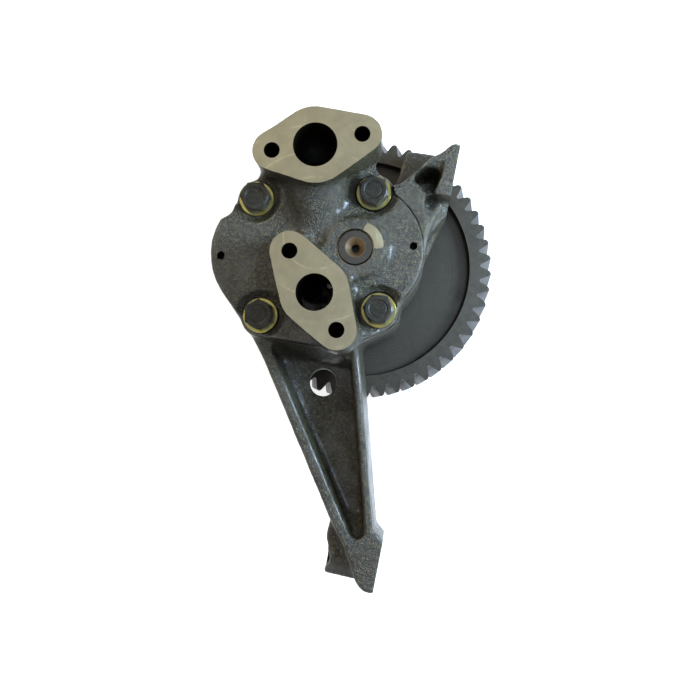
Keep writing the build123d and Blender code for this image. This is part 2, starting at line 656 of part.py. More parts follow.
def cover_bolt(turn):
    """Make one hexagon bolt about the Z axis, with a dished head."""
    seat = BOLT_SEAT + WASHER_HEIGHT + SPRING_HEIGHT
    top = seat + HEAD_HEIGHT
    head = Rot(0, 0, turn) * prism(RegularPolygon(HEAD_AF / 2, 6, major_radius=False), seat, top)
    corner_r = HEAD_AF / 2 / math.cos(math.pi / 6)
    crown = Cone(corner_r + 0.1, HEAD_AF / 2 - 0.5, 1.2, align=(Align.CENTER, Align.CENTER, Align.MAX))
    head &= post(0, 0, corner_r + 0.1, seat, top - 1.2) + Pos(0, 0, top) * crown
    dish = Cone(5.2, 6.2, 0.5, align=(Align.CENTER, Align.CENTER, Align.MAX))
    head -= Pos(0, 0, top) * dish
    head += Pos(0, 0, top - 0.5) * Cone(5.2, 4.8, 0.2, align=(Align.CENTER, Align.CENTER, Align.MIN))
    return head + post(0, 0, BOLT_R, JOINT_FACE - 26, seat)


def flat_washer():
    """Make one flat washer about the Z axis."""
    low = BOLT_SEAT
    high = low + WASHER_HEIGHT
    ring = post(0, 0, WASHER_R, low, high)
    return chamfer(ring.edges().group_by(Axis.Z)[-1], 0.4) - post(0, 0, BOLT_R + 0.3, low - 1, high + 1)


def spring_washer(turn):
    """Make one split spring washer about the Z axis."""
    low = BOLT_SEAT + WASHER_HEIGHT
    ring = post(0, 0, SPRING_R, low, low + SPRING_HEIGHT)
    ring -= post(0, 0, BOLT_R + 0.2, low - 1, low + SPRING_HEIGHT + 1)
    split = Pos(7, 0, low + SPRING_HEIGHT / 2) * Rot(25, 0, 0) * Box(8, 1.0, 8)
    return Rot(0, 0, turn) * (ring - split)


def dowel_pin():
    """Make one dowel about the Z axis, sunk under the cover's front."""
    pin = post(0, 0, DOWEL_R, JOINT_FACE - 12, COVER_FRONT - DOWEL_SUNK)
    return chamfer(pin.edges().group_by(Axis.Z)[-1], 0.6)


# ---- parts --------------------------------------------------------------------------------------
def build():
    """Return every node's solid by name."""
    parts = {
        "pump_body": pump_body(),
        "pump_cover": pump_cover(),
        "drive_shaft": PUMP * drive_shaft(),
        "driver_gear": PUMP * (pump_gear(0.0, SHAFT_R) - rotor_key()),
        "driver_gear_key": PUMP * rotor_key(),
        "idler_gear": idler_gear(),
        "idler_bush": idler_bush(),
        "idler_shaft": idler_shaft(),
        "drive_gear": drive_gear(),
        "drive_gear_key": PUMP * hub_key(),
        "drive_gear_nut": drive_gear_nut(),
        "drive_gear_lock_washer": lock_washer(),
        "thrust_washer": thrust_washer(),
        "body_bush": shaft_bush(BODY_BACK, POCKET_FLOOR),
        "cover_bush": shaft_bush(JOINT_FACE, SHAFT_BOSS_TOP - 3),
    }
    for number, ((u, v), turn) in enumerate(zip(bolt_places(), HEAD_TURNS), start=1):
        place = PUMP * Pos(u, v, 0)
        parts[f"cover_bolt_{number}"] = place * cover_bolt(turn)
        parts[f"flat_washer_{number}"] = place * flat_washer()
        parts[f"spring_washer_{number}"] = place * spring_washer(turn + 40)
    for number, (u, v) in enumerate(dowel_places(), start=1):
        parts[f"dowel_pin_{number}"] = PUMP * Pos(u, v, 0) * dowel_pin()
    return parts


os.makedirs("parts", exist_ok=True)
for name, shape in build().items():
    export_step(shape, f"parts/{name}.step")
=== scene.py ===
import json
import math
import random
from collections import namedtuple

import bmesh
import bpy
from bpy.props import FloatProperty, FloatVectorProperty, IntProperty, PointerProperty
from mathutils import Matrix, Vector, noise


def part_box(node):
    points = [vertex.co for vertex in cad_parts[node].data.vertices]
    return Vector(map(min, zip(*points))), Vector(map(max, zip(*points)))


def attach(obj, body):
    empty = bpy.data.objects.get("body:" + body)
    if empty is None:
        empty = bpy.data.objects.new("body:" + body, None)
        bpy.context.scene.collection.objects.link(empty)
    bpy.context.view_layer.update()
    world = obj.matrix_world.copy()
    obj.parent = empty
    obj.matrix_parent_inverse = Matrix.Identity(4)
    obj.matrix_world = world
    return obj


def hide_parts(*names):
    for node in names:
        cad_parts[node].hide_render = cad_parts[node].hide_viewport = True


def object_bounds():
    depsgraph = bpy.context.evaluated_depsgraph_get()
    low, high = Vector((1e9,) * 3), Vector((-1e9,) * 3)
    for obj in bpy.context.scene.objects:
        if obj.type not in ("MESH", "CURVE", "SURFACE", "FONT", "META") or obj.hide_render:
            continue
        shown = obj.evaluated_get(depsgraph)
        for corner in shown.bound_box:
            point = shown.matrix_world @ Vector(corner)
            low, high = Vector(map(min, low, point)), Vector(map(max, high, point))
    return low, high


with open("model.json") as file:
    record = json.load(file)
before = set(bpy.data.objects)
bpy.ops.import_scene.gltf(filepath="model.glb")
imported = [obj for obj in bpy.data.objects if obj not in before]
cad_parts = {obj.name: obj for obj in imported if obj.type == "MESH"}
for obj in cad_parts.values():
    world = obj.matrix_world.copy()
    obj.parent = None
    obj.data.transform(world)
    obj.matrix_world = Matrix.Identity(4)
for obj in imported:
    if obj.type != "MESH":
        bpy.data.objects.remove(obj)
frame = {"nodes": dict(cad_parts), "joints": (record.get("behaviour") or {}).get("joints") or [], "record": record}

bl_info = {
    "name": "Engine Oil Pump",
    "version": (1, 0, 0),
    "blender": (4, 5, 0),
    "location": "3D View > Sidebar > Oil Pump",
    "description": "Dresses an oil pump: sand castings with machined faces, oiled gears and fasteners",
    "category": "Object",
}

MM = 0.001


def radius_of(node):
    """Return the radius of a round node that stands along Z."""
    low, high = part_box(node)
    return (high.x - low.x) / 2


# The object's own places. Lengths are metres, as in the frame.
CAD_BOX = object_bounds()
NODES = frame["nodes"]
MOUNTS = {mount["name"]: mount for mount in frame["record"]["mounts"]}
JOINTS = {joint["name"]: joint for joint in frame["joints"]}
DRIVE_AXIS = Vector(JOINTS["drive_spin"]["pos_m"])
IDLER_AXIS = Vector(JOINTS["idler_spin"]["pos_m"])
JOINT_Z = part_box("pump_cover")[0].z
FLANGE_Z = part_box("pump_cover")[1].z
PAD_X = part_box("pump_body")[1].x
POCKET_FLOOR_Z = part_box("body_bush")[1].z
BODY_BACK_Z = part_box("body_bush")[0].z
COVER_BUSH_TOP_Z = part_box("cover_bush")[1].z
BOLT_SEAT_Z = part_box("flat_washer_1")[0].z
COVER_FRONT_Z = 98.0 * MM
SHAFT_BOSS_Z = 104.0 * MM

# Round holes, and the chamber that the two pumping gears turn in.
BUSH_R = radius_of("cover_bush")
DOWEL_R = radius_of("dowel_pin_1")
IDLER_PIN_R = radius_of("idler_shaft")
BOLT_HOLE_R = 5.5 * MM
BOLT_THREAD_R = 5.0 * MM
BOLT_THREAD_DEPTH = 28.0 * MM
SHAFT_MOUTH_R = 11.7 * MM
FLANGE_HOLE_DEPTH = 22.0 * MM
POCKET_R = 29.33 * MM
CHAMBER_WIDTH = 25.0 * MM
CHAMBER_HEIGHT = 66.0 * MM
CHAMBER_ROUND = 11.0 * MM

# What a mould leaves to be cut: stock on the faces, and metal in the drilled holes. The housing is
# also filled up a little inside the cover's outline, and its joint face is then cut clear of it.
STOCK = 3.0 * MM
PLUG_MARGIN = 1.0 * MM
OVERLAP = 1.0 * MM
CORE_MOUTH_DEPTH = 5.0 * MM
FILLED_INSET = 0.6 * MM
COVER_CLEARANCE = 0.3 * MM

# The faced bolt seats, and the spot that is skimmed at one side of the shaft's boss.
SEAT_R = 12.1 * MM
SEAT_DEPTH = 5.5 * MM
SPOT_OFFSET = Vector((11.9 * MM, 10.7 * MM, 0.0))
SPOT_R = 9.2 * MM
SPOT_DEPTH = 0.25 * MM
SPOT_HEADROOM = 1.4 * MM
CREASE_ANGLE = math.radians(38)

# How near two places have to be to count as the same level, wall, flat or point.
NEAR = 0.05 * MM
WALL_SLACK = 0.06 * MM
FLUSH = 0.01 * MM
WELD = 0.002 * MM

BOLTS = range(1, 5)
PINS = range(1, 3)
X, Z = 0, 2

# A round hole runs from its floor to the face that it opens in. Its cutter runs on past the face.
# A casting's blank has the hole filled down to its plug's depth, or all of it.
WHOLE_DEPTH = 1.0
Hole = namedtuple("Hole", "floor face radius run_on plug_depth")


# ---- settings -------------------------------------------------------------------------------------
class CastingSettings(bpy.types.PropertyGroup):
    voxel: FloatProperty(
        name="Grid", description="Size of the grid that the castings are remeshed on",
        default=1.05 * MM, min=0.0005, unit="LENGTH", subtype="DISTANCE",
    )
    fillet: FloatProperty(
        name="Housing fillet", description="Radius that the sand mould leaves in the housing's inner corners",
        default=2.2 * MM, min=0.0, unit="LENGTH", subtype="DISTANCE",
    )
    cover_fillet: FloatProperty(
        name="Cover fillet", description="Radius that the sand mould leaves in the cover's inner corners",
        default=4.4 * MM, min=0.0, unit="LENGTH", subtype="DISTANCE",
    )
    waviness: FloatProperty(
        name="Waviness", description="Height of the slow unevenness of a cast wall",
        default=0.32 * MM, min=0.0, unit="LENGTH", subtype="DISTANCE",
    )
    roughness: FloatProperty(
        name="Sand roughness", description="Height of the fine unevenness left by the sand",
        default=0.10 * MM, min=0.0, unit="LENGTH", subtype="DISTANCE",
    )
    pits: IntProperty(
        name="Pits", description="How many small sand pits each casting has", default=46, min=0,
    )
    iron: FloatVectorProperty(
        name="Iron", description="Colour of the oily cast skin", subtype="COLOR",
        default=(0.019, 0.0168, 0.0085), min=0.0, max=1.0,
    )
    # Lighter colour of the grain's crests and of outer edges: wear, and painted highlight.
    iron_wear_and_highlight: FloatVectorProperty(
        name="Iron specks", description="Colour of the worn crests of the sand grain", subtype="COLOR",
        default=(0.106, 0.091, 0.043), min=0.0, max=1.0,
    )
    machined: FloatVectorProperty(
        name="Machined iron", description="Colour of the milled flange faces", subtype="COLOR",
        default=(0.240, 0.205, 0.126), min=0.0, max=1.0,
    )


class SteelSettings(bpy.types.PropertyGroup):
    gear: FloatVectorProperty(
        name="Drive gear", description="Colour of the oiled drive gear", subtype="COLOR",
        default=(0.034, 0.029, 0.021), min=0.0, max=1.0,
    )
    ground: FloatVectorProperty(
        name="Ground steel", description="Colour of ground shafts and pumping gears", subtype="COLOR",
        default=(0.16, 0.156, 0.142), min=0.0, max=1.0,
    )
    oxide: FloatVectorProperty(
        name="Black oxide", description="Colour of the bolts", subtype="COLOR",
        default=(0.013, 0.0127, 0.0105), min=0.0, max=1.0,
    )
    zinc: FloatVectorProperty(
        name="Yellow zinc", description="Colour of the flat washers", subtype="COLOR",
        default=(0.34, 0.295, 0.085), min=0.0, max=1.0,
    )
    bronze: FloatVectorProperty(
        name="Bronze", description="Colour of the bushes and of the shaft's centre", subtype="COLOR",
        default=(0.30, 0.22, 0.13), min=0.0, max=1.0,
    )


class StageSettings(bpy.types.PropertyGroup):
    key_power: FloatProperty(
        name="Key lamp", description="Power of the cool lamp low on the right",
        default=5.4, min=0.0, unit="POWER",
    )
    sheen_power: FloatProperty(
        name="Sheen lamp", description="Power of the cool lamp high on the right",
        default=1.2, min=0.0, unit="POWER",
    )
    fill_power: FloatProperty(
        name="Fill lamp", description="Power of the warm lamp on the left",
        default=2.9, min=0.0, unit="POWER",
    )
    sky: FloatProperty(
        name="Sky", description="Strength of the even light from all sides", default=0.13, min=0.0,
    )
    floor_glow: FloatProperty(
        name="Floor glow", description="Light that the floor adds so that it reads as white paper",
        default=0.86, min=0.0,
    )


def castings():
    """Return the castings' settings."""
    return bpy.context.scene.oil_pump_castings


def steels():
    """Return the steel parts' settings."""
    return bpy.context.scene.oil_pump_steels


# ---- shader tools ---------------------------------------------------------------------------------
class Tree:
    """A node tree that is filled by short calls."""

    def __init__(self, tree):
        self.tree = tree

    def node(self, kind, inputs=None, **settings):
        """Add a node, set its settings, and link or set its inputs."""
        made = self.tree.nodes.new(kind)
        for key, value in settings.items():
            setattr(made, key, value)
        for key, value in (inputs or {}).items():
            self.feed(made.inputs[key], value)
        return made

    def feed(self, socket, value):
        """Link an output to a socket, or set the socket's own value."""
        if isinstance(value, bpy.types.NodeSocket):
            self.tree.links.new(value, socket)
        elif isinstance(value, bpy.types.Node):
            self.tree.links.new(value.outputs[0], socket)
        else:
            socket.default_value = value

    def math(self, operation, first, second=0.0, clamp=False):
        """Add a Math node and return its output."""
        made = self.node("ShaderNodeMath", {0: first, 1: second}, operation=operation, use_clamp=clamp)
        return made.outputs[0]

    def share(self, value, part):
        """Scale a value."""
        return self.math("MULTIPLY", value, part)

    def ramp(self, value, low, high):
        """Stretch a value so that low gives 0 and high gives 1."""
        inputs = {"Value": value, "From Min": low, "From Max": high}
        return self.node("ShaderNodeMapRange", inputs).outputs[0]

    def noise(self, vector, scale, detail=3.0, rough=0.5, distortion=0.0):
        """Add a Noise Texture and return its value."""
        inputs = {
            "Vector": vector, "Scale": scale, "Detail": detail, "Roughness": rough, "Distortion": distortion,
        }
        return self.node("ShaderNodeTexNoise", inputs).outputs[0]

    def mix(self, share, first, second, blend="MIX"):
        """Mix two colours and return the result."""
        made = self.node("ShaderNodeMix", data_type="RGBA", blend_type=blend)
        self.feed(made.inputs[0], share)
        self.feed(made.inputs[6], first)
        self.feed(made.inputs[7], second)
        return made.outputs[2]

    def tint(self, color, mask, strength, other):
        """Lay another colour over a colour where a mask says so."""
        return self.mix(self.share(mask, strength), color, other)

    def from_axis(self, place, axis):
        """Return the distance from an axis along Z."""
        apart = self.node("ShaderNodeVectorMath", {0: place, 1: axis}, operation="SUBTRACT")
        flat = self.node("ShaderNodeVectorMath", {0: apart, 1: (1.0, 1.0, 0.0)}, operation="MULTIPLY")
        return self.node("ShaderNodeVectorMath", {0: flat}, operation="LENGTH").outputs["Value"]

    def place(self):
        """Return the object's own coordinates, which turn with it."""
        return self.node("ShaderNodeTexCoord").outputs["Object"]


def shader_group(name, inputs, outputs):
    """Start a shader node group with named sockets, and return its tree, inputs and output node."""
    group = bpy.data.node_groups.new(name, "ShaderNodeTree")
    for socket_name, kind, value in inputs:
        socket = group.interface.new_socket(name=socket_name, in_out="INPUT", socket_type=kind)
        if value is not None:
            socket.default_value = value
    for socket_name, kind in outputs:
        group.interface.new_socket(name=socket_name, in_out="OUTPUT", socket_type=kind)
    tree = Tree(group)
    return tree, tree.node("NodeGroupInput").outputs, tree.node("NodeGroupOutput").inputs


FLOAT, COLOR, VECTOR = "NodeSocketFloat", "NodeSocketColor", "NodeSocketVector"


def sand_grain_group():
    """Build the sand-cast grain: a mask of its crests, for wear and painted highlight, a mask of its hollows, for
    painted shade, and its height.
    """
    tree, given, out = shader_group(
        "Sand grain",
        [("Place", VECTOR, None), ("Grains per metre", FLOAT, 900.0), ("Crest share", FLOAT, 0.5)],
        [("Crests", FLOAT), ("Pits", FLOAT), ("Height", FLOAT), ("Patches", FLOAT)])
    fine = tree.noise(given["Place"], given["Grains per metre"], detail=4.0, rough=0.68)
    coarse_scale = tree.share(given["Grains per metre"], 0.32)
    coarse = tree.noise(given["Place"], coarse_scale, detail=3.0, rough=0.6)
    patch_scale = tree.share(given["Grains per metre"], 0.035)
    patches = tree.noise(given["Place"], patch_scale, detail=3.0, rough=0.6)
    cell_scale = tree.share(given["Grains per metre"], 0.8)
    cells = tree.node("ShaderNodeTexVoronoi", {"Vector": given["Place"], "Scale": cell_scale})
    height = tree.math("ADD", tree.share(fine, 0.55), tree.share(coarse, 0.45))
    height = tree.math("SUBTRACT", height, tree.share(cells.outputs["Distance"], 0.16))
    low = tree.math("SUBTRACT", 0.53, tree.share(given["Crest share"], 0.2))
    # Crests give the mask for wear and painted highlight; hollows give the mask for painted shade.
    crests = tree.ramp(tree.math("SUBTRACT", height, low), 0.0, 0.08)
    pits = tree.ramp(height, 0.40, 0.33)
    tree.feed(out["Crests"], crests)
    tree.feed(out["Pits"], pits)
    tree.feed(out["Height"], height)
    tree.feed(out["Patches"], tree.ramp(patches, 0.36, 0.66))
    return tree.tree


def oil_film_group():
    """Build the uneven oil film: how much oil lies on the metal, and its streaks."""
    tree, given, out = shader_group(
        "Oil film", [("Place", VECTOR, None), ("Pools per metre", FLOAT, 45.0)],
        [("Oil", FLOAT), ("Stain", FLOAT)])
    pools = tree.noise(given["Place"], given["Pools per metre"], detail=4.0, rough=0.55, distortion=0.4)
    stain_scale = tree.share(given["Pools per metre"], 2.7)
    stain = tree.noise(given["Place"], stain_scale, detail=5.0, rough=0.65, distortion=0.8)
    tree.feed(out["Oil"], tree.ramp(pools, 0.38, 0.62))
    tree.feed(out["Stain"], tree.ramp(stain, 0.42, 0.72))
    return tree.tree


def edge_wear_and_corner_shade_group():
    """Build a mask of outer edges, for wear and painted edge highlight, and a mask of inner corners, for painted
    shade.
    """
    tree, given, out = shader_group(
        "Edge wear and corner shade",
        [("Place", VECTOR, None), ("Sharpness", FLOAT, 12.0), ("Breaks per metre", FLOAT, 260.0)],
        [("Edges", FLOAT), ("Corner shade", FLOAT)])
    point = tree.node("ShaderNodeNewGeometry").outputs["Pointiness"]
    breaks = tree.noise(given["Place"], given["Breaks per metre"], detail=3.0)
    raised = tree.math("MULTIPLY", tree.math("SUBTRACT", point, 0.5), given["Sharpness"])
    edges = tree.math("MULTIPLY", tree.math("SUBTRACT", raised, 0.12), 2.0, clamp=True)
    edges = tree.math("MULTIPLY", edges, tree.ramp(breaks, 0.35, 0.6), clamp=True)
    # Inner corners give the mask for painted shade: darkening where less light reaches.
    corner_shade = tree.math("MULTIPLY", raised, -1.4, clamp=True)
    tree.feed(out["Edges"], edges)
    tree.feed(out["Corner shade"], corner_shade)
    return tree.tree


def facing_arcs_group():
    """Build the curved marks of a milling head that crossed a flat face."""
    tree, given, out = shader_group(
        "Facing arcs", [("Place", VECTOR, None), ("Centre", VECTOR, None), ("Arcs per metre", FLOAT, 900.0)],
        [("Marks", FLOAT), ("Bright arc", FLOAT), ("Mottle", FLOAT)])
    radius = tree.from_axis(given["Place"], given["Centre"])
    wobble = tree.noise(given["Place"], 160.0, detail=2.0)
    phase = tree.math("ADD", tree.math("MULTIPLY", radius, given["Arcs per metre"]), wobble)
    wave = tree.share(tree.math("SINE", tree.share(phase, math.tau)), 0.5)
    grain = tree.noise(given["Place"], 1500.0, detail=3.0, rough=0.7)
    marks = tree.math("ADD", tree.share(wave, 0.55), grain)
    bright_arcs_per_metre = 62.0
    sparse = tree.math("SINE", tree.share(radius, math.tau * bright_arcs_per_metre))
    bright = tree.math("MULTIPLY", tree.ramp(sparse, 0.96, 1.0), tree.ramp(wobble, 0.45, 0.62))
    tree.feed(out["Marks"], marks)
    tree.feed(out["Bright arc"], bright)
    tree.feed(out["Mottle"], tree.noise(given["Place"], 75.0, detail=5.0, rough=0.6))
    return tree.tree


def turned_rings_group():
    """Build the fine rings that turning leaves around an axis along Z."""
    tree, given, out = shader_group(
        "Turned rings", [("Place", VECTOR, None), ("Axis", VECTOR, None), ("Rings per metre", FLOAT, 1400.0)],
        [("Rings", FLOAT), ("Radius", FLOAT)])
    radius = tree.from_axis(given["Place"], given["Axis"])
    rings = tree.math("MULTIPLY", radius, given["Rings per metre"])
    along = tree.node("ShaderNodeCombineXYZ", {"X": rings})
    tree.feed(out["Rings"], tree.noise(along, 1.0, detail=4.0, rough=0.7))
    tree.feed(out["Radius"], radius)
    return tree.tree


GROUPS = {}


def build_groups():
    """Build every shared shader group once."""
    GROUPS["grain"] = sand_grain_group()
    GROUPS["oil"] = oil_film_group()
    GROUPS["wear_and_shade"] = edge_wear_and_corner_shade_group()
    GROUPS["facing"] = facing_arcs_group()
    GROUPS["rings"] = turned_rings_group()


class Finish(Tree):
    """A material with one Principled shader."""

    def __init__(self, name, metallic, specular=0.5, coat_roughness=None):
        made = bpy.data.materials.new(name)
        made.use_nodes = True
        super().__init__(made.node_tree)
        self.material = made
        self.shader = made.node_tree.nodes["Principled BSDF"]
        self.shader.inputs["Metallic"].default_value = metallic
        self.shader.inputs["Specular IOR Level"].default_value = specular
        if coat_roughness is not None:
            self.shader.inputs["Coat Roughness"].default_value = coat_roughness

    def effect(self, key, **inputs):
        """Place a shared group and return its outputs."""
        made = self.node("ShaderNodeGroup", node_tree=GROUPS[key])
        self.feed(made.inputs["Place"], self.place())
        for name, value in inputs.items():
            self.feed(made.inputs[name.replace("_", " ")], value)
        return made.outputs

    def surface(self, color, roughness, height=None, depth=0.0, coat=None):
        """Feed the shader's colour, roughness, bump and coat."""
        self.feed(self.shader.inputs["Base Color"], color)
        self.feed(self.shader.inputs["Roughness"], roughness)
        if coat is not None:
            self.feed(self.shader.inputs["Coat Weight"], coat)
        if height is not None:
            bump = self.node("ShaderNodeBump", {"Height": height, "Distance": depth, "Strength": 1.0})
            self.feed(self.shader.inputs["Normal"], bump)
        return self.material


def solid(color):
    """Turn a colour setting into four numbers."""
    return (*color, 1.0)


def darker(color, share):
    """Scale a colour setting."""
    return (*(c * share for c in color), 1.0)


def oily_cast_iron():
    """Make the skin of the castings: dark iron under patchy oil, its grain's crests lighter for wear and painted
    highlight, with painted shade in its hollows and inner corners.
    """
    finish = Finish("oily_cast_iron", 0.0, specular=0.5, coat_roughness=0.22)
    iron, wear_and_highlight = castings().iron, castings().iron_wear_and_highlight
    grain = finish.effect("grain", Grains_per_metre=1250.0)
    wear_and_shade = finish.effect("wear_and_shade", Sharpness=7.0)
    oil = finish.effect("oil")
    dry = finish.mix(grain["Patches"], darker(iron, 0.88), darker(iron, 1.1))
    dryness = finish.math("SUBTRACT", 1.0, finish.share(oil["Oil"], 0.35))
    specks = finish.math("MULTIPLY", grain["Crests"], dryness)
    # Crests lighter: worn crests, and painted highlight on the grain.
    color = finish.mix(specks, dry, solid(wear_and_highlight))
    # Painted shade: the grain's hollows are darkened.
    color = finish.tint(color, grain["Pits"], 0.8, darker(iron, 0.16))
    # Painted shade: inner corners are darkened.
    color = finish.tint(color, wear_and_shade["Corner shade"], 0.75, darker(iron, 0.25))
    color = finish.tint(color, wear_and_shade["Edges"], 0.35, solid(wear_and_highlight))
    roughness = finish.math("SUBTRACT", 0.35, finish.share(oil["Oil"], 0.06))
    coat = finish.share(oil["Oil"], 0.5)
    return finish.surface(color, roughness, grain["Height"], 1.7 * MM, coat)


def milled_iron():
    """Make the machined faces: pale iron with curved milling marks and faint oil stains."""
    finish = Finish("milled_iron", 0.4)
    machined = castings().machined
    inlet = Vector(MOUNTS["inlet_bore"]["pos_m"])
    facing = finish.effect("facing", Centre=inlet + Vector((0.012, -0.055, 0.0)))
    oil = finish.effect("oil", Pools_per_metre=70.0)
    mottle = finish.ramp(facing["Mottle"], 0.3, 0.7)
    color = finish.mix(mottle, darker(machined, 0.82), darker(machined, 1.06))
    color = finish.tint(color, oil["Stain"], 0.35, darker(machined, 0.66))
    color = finish.tint(color, facing["Bright arc"], 0.4, darker(machined, 1.7))
    roughness = finish.math("ADD", 0.36, finish.share(facing["Mottle"], 0.16))
    return finish.surface(color, roughness, facing["Marks"], 0.035 * MM)


def bore_shade_iron():
    """Make the inside of bores and drillings near black: painted shade, with faint oil stains."""
    finish = Finish("bore_shade_iron", 0.0, specular=0.05)
    oil = finish.effect("oil", Pools_per_metre=120.0)
    iron = castings().iron
    color = finish.mix(oil["Stain"], darker(iron, 0.08), darker(iron, 0.25))
    scratches = finish.noise(finish.place(), 1100.0, detail=3.0)
    return finish.surface(color, 0.5, scratches, 0.05 * MM)


def oiled_gear_steel():
    """Make the drive gear's steel: turned rings on its web, oil, and lighter tooth edges that are fine wear and
    painted highlight.
    """
    finish = Finish("oiled_gear_steel", 0.2, specular=0.28, coat_roughness=0.25)
    gear = steels().gear
    rings = finish.effect("rings", Rings_per_metre=900.0)
    oil = finish.effect("oil", Pools_per_metre=38.0)
    wear_and_shade = finish.effect("wear_and_shade", Sharpness=5.0)
    color = finish.mix(finish.ramp(rings["Rings"], 0.35, 0.68), darker(gear, 0.78), darker(gear, 1.2))
    color = finish.tint(color, oil["Stain"], 0.5, darker(gear, 0.55))
    # Lighter edges: fine wear, and painted highlight in place of the teeth's small chamfers.
    color = finish.tint(color, wear_and_shade["Edges"], 0.5, darker(gear, 2.1))
    roughness = finish.math("SUBTRACT", 0.5, finish.share(oil["Oil"], 0.14))
    fine = finish.noise(finish.place(), 900.0, detail=3.0)
    height = finish.math("ADD", rings["Rings"], finish.share(fine, 0.8))
    return finish.surface(color, roughness, height, 0.045 * MM, finish.share(oil["Oil"], 0.12))


def ground_steel():
    """Make the ground steel of shafts, pins and pumping gears."""
    finish = Finish("ground_steel", 0.9)
    ground = steels().ground
    oil = finish.effect("oil", Pools_per_metre=90.0)
    rings = finish.effect("rings", Rings_per_metre=2400.0)
    color = finish.mix(rings["Rings"], darker(ground, 0.7), darker(ground, 1.15))
    color = finish.tint(color, oil["Stain"], 0.5, darker(ground, 0.45))
    roughness = finish.math("ADD", 0.24, finish.share(oil["Stain"], 0.16))
    return finish.surface(color, roughness, rings["Rings"], 0.01 * MM)


def shaft_end_steel():
    """Make the drive shaft: grey front face, a rim painted black as the shade of the gap around it, and a
    bronze-brown centre drilling with painted shade in its pilot hole.
    """
    finish = Finish("shaft_end_steel", 0.75)
    ground, bronze = steels().ground, steels().bronze
    rings = finish.effect("rings", Rings_per_metre=2600.0)
    oil = finish.effect("oil", Pools_per_metre=140.0)
    cone_r, pilot_shade_r, gap_shade_r = 6.3 * MM, 2.6 * MM, 10.3 * MM
    face = finish.mix(rings["Rings"], darker(ground, 0.26), darker(ground, 0.46))
    face = finish.tint(face, oil["Stain"], 0.5, darker(ground, 0.16))
    cone = finish.mix(rings["Rings"], darker(bronze, 0.5), darker(bronze, 1.15))
    color = finish.mix(finish.ramp(rings["Radius"], cone_r + 0.15 * MM, cone_r - 0.15 * MM), face, cone)
    # Painted shade: the centre drilling's pilot hole is near black.
    color = finish.mix(finish.ramp(rings["Radius"], pilot_shade_r, pilot_shade_r - 0.3 * MM), color, darker(ground, 0.05))
    # Painted shade: the rim is near black, for the shade in the gap between shaft and mouth.
    color = finish.mix(finish.ramp(rings["Radius"], gap_shade_r, gap_shade_r + 0.3 * MM), color, darker(ground, 0.08))
    return finish.surface(color, 0.34, rings["Rings"], 0.02 * MM)


def black_oxide():
    """Make the bolts' black oxide, rubbed a little on its edges and mottled by oil."""
    finish = Finish("black_oxide", 0.0, specular=0.16, coat_roughness=0.2)
    oxide, dried_oil = steels().oxide, (0.085, 0.075, 0.052, 1.0)
    wear_and_shade = finish.effect("wear_and_shade", Sharpness=6.0, Breaks_per_metre=700.0)
    oil = finish.effect("oil", Pools_per_metre=210.0)
    fine = finish.noise(finish.place(), 1500.0, detail=4.0, rough=0.7)
    color = finish.mix(finish.ramp(fine, 0.3, 0.7), darker(oxide, 0.55), darker(oxide, 1.5))
    color = finish.tint(color, oil["Stain"], 0.4, dried_oil)
    color = finish.tint(color, wear_and_shade["Edges"], 0.5, darker(oxide, 5.0))
    roughness = finish.math("SUBTRACT", 0.47, finish.share(oil["Oil"], 0.17))
    return finish.surface(color, roughness, fine, 0.16 * MM, finish.share(oil["Oil"], 0.15))


def yellow_zinc():
    """Make the flat washers' passivated zinc: yellow with a greenish tint and dark specks."""
    finish = Finish("yellow_zinc", 1.0)
    zinc, green_tint = steels().zinc, (0.20, 0.21, 0.11, 1.0)
    tint = finish.noise(finish.place(), 150.0, detail=2.0)
    fine = finish.noise(finish.place(), 1300.0, detail=3.0)
    color = finish.mix(finish.ramp(tint, 0.35, 0.65), solid(zinc), green_tint)
    color = finish.mix(finish.ramp(fine, 0.5, 0.75), color, darker(zinc, 0.5))
    roughness = finish.math("ADD", 0.22, finish.share(fine, 0.2))
    return finish.surface(color, roughness, fine, 0.02 * MM)


def dark_spring_steel():
    """Make the spring washers' dark hardened steel."""
    finish = Finish("dark_spring_steel", 0.7)
    dark, rubbed = (0.07, 0.068, 0.055, 1.0), (0.19, 0.18, 0.14, 1.0)
    fine = finish.noise(finish.place(), 1200.0, detail=4.0, rough=0.7)
    oil = finish.effect("oil", Pools_per_metre=240.0)
    color = finish.mix(finish.ramp(fine, 0.3, 0.7), dark, rubbed)
    roughness = finish.math("SUBTRACT", 0.45, finish.share(oil["Oil"], 0.15))
    return finish.surface(color, roughness, fine, 0.04 * MM)


def turned_bronze():
    """Make the bronze of bushes and thrust washer."""
    finish = Finish("turned_bronze", 0.9)
    bronze = steels().bronze
    rings = finish.effect("rings", Rings_per_metre=2200.0)
    oil = finish.effect("oil", Pools_per_metre=130.0)
    color = finish.mix(rings["Rings"], darker(bronze, 0.75), darker(bronze, 1.3))
    color = finish.tint(color, oil["Stain"], 0.5, darker(bronze, 0.4))
    roughness = finish.math("ADD", 0.25, finish.share(oil["Stain"], 0.2))
    return finish.surface(color, roughness, rings["Rings"], 0.015 * MM)


FINISHES = {}


def build_finishes():
    """Build every material once."""
    for build in (
        oily_cast_iron, milled_iron, bore_shade_iron, oiled_gear_steel, ground_steel, shaft_end_steel,
        black_oxide, yellow_zinc, dark_spring_steel, turned_bronze,
    ):
        FINISHES[build.__name__] = build()


def finish_node(node, finish_name):
    """Give a CAD node its material."""
    for material_slot in NODES[node].material_slots:
        material_slot.material = FINISHES[finish_name]


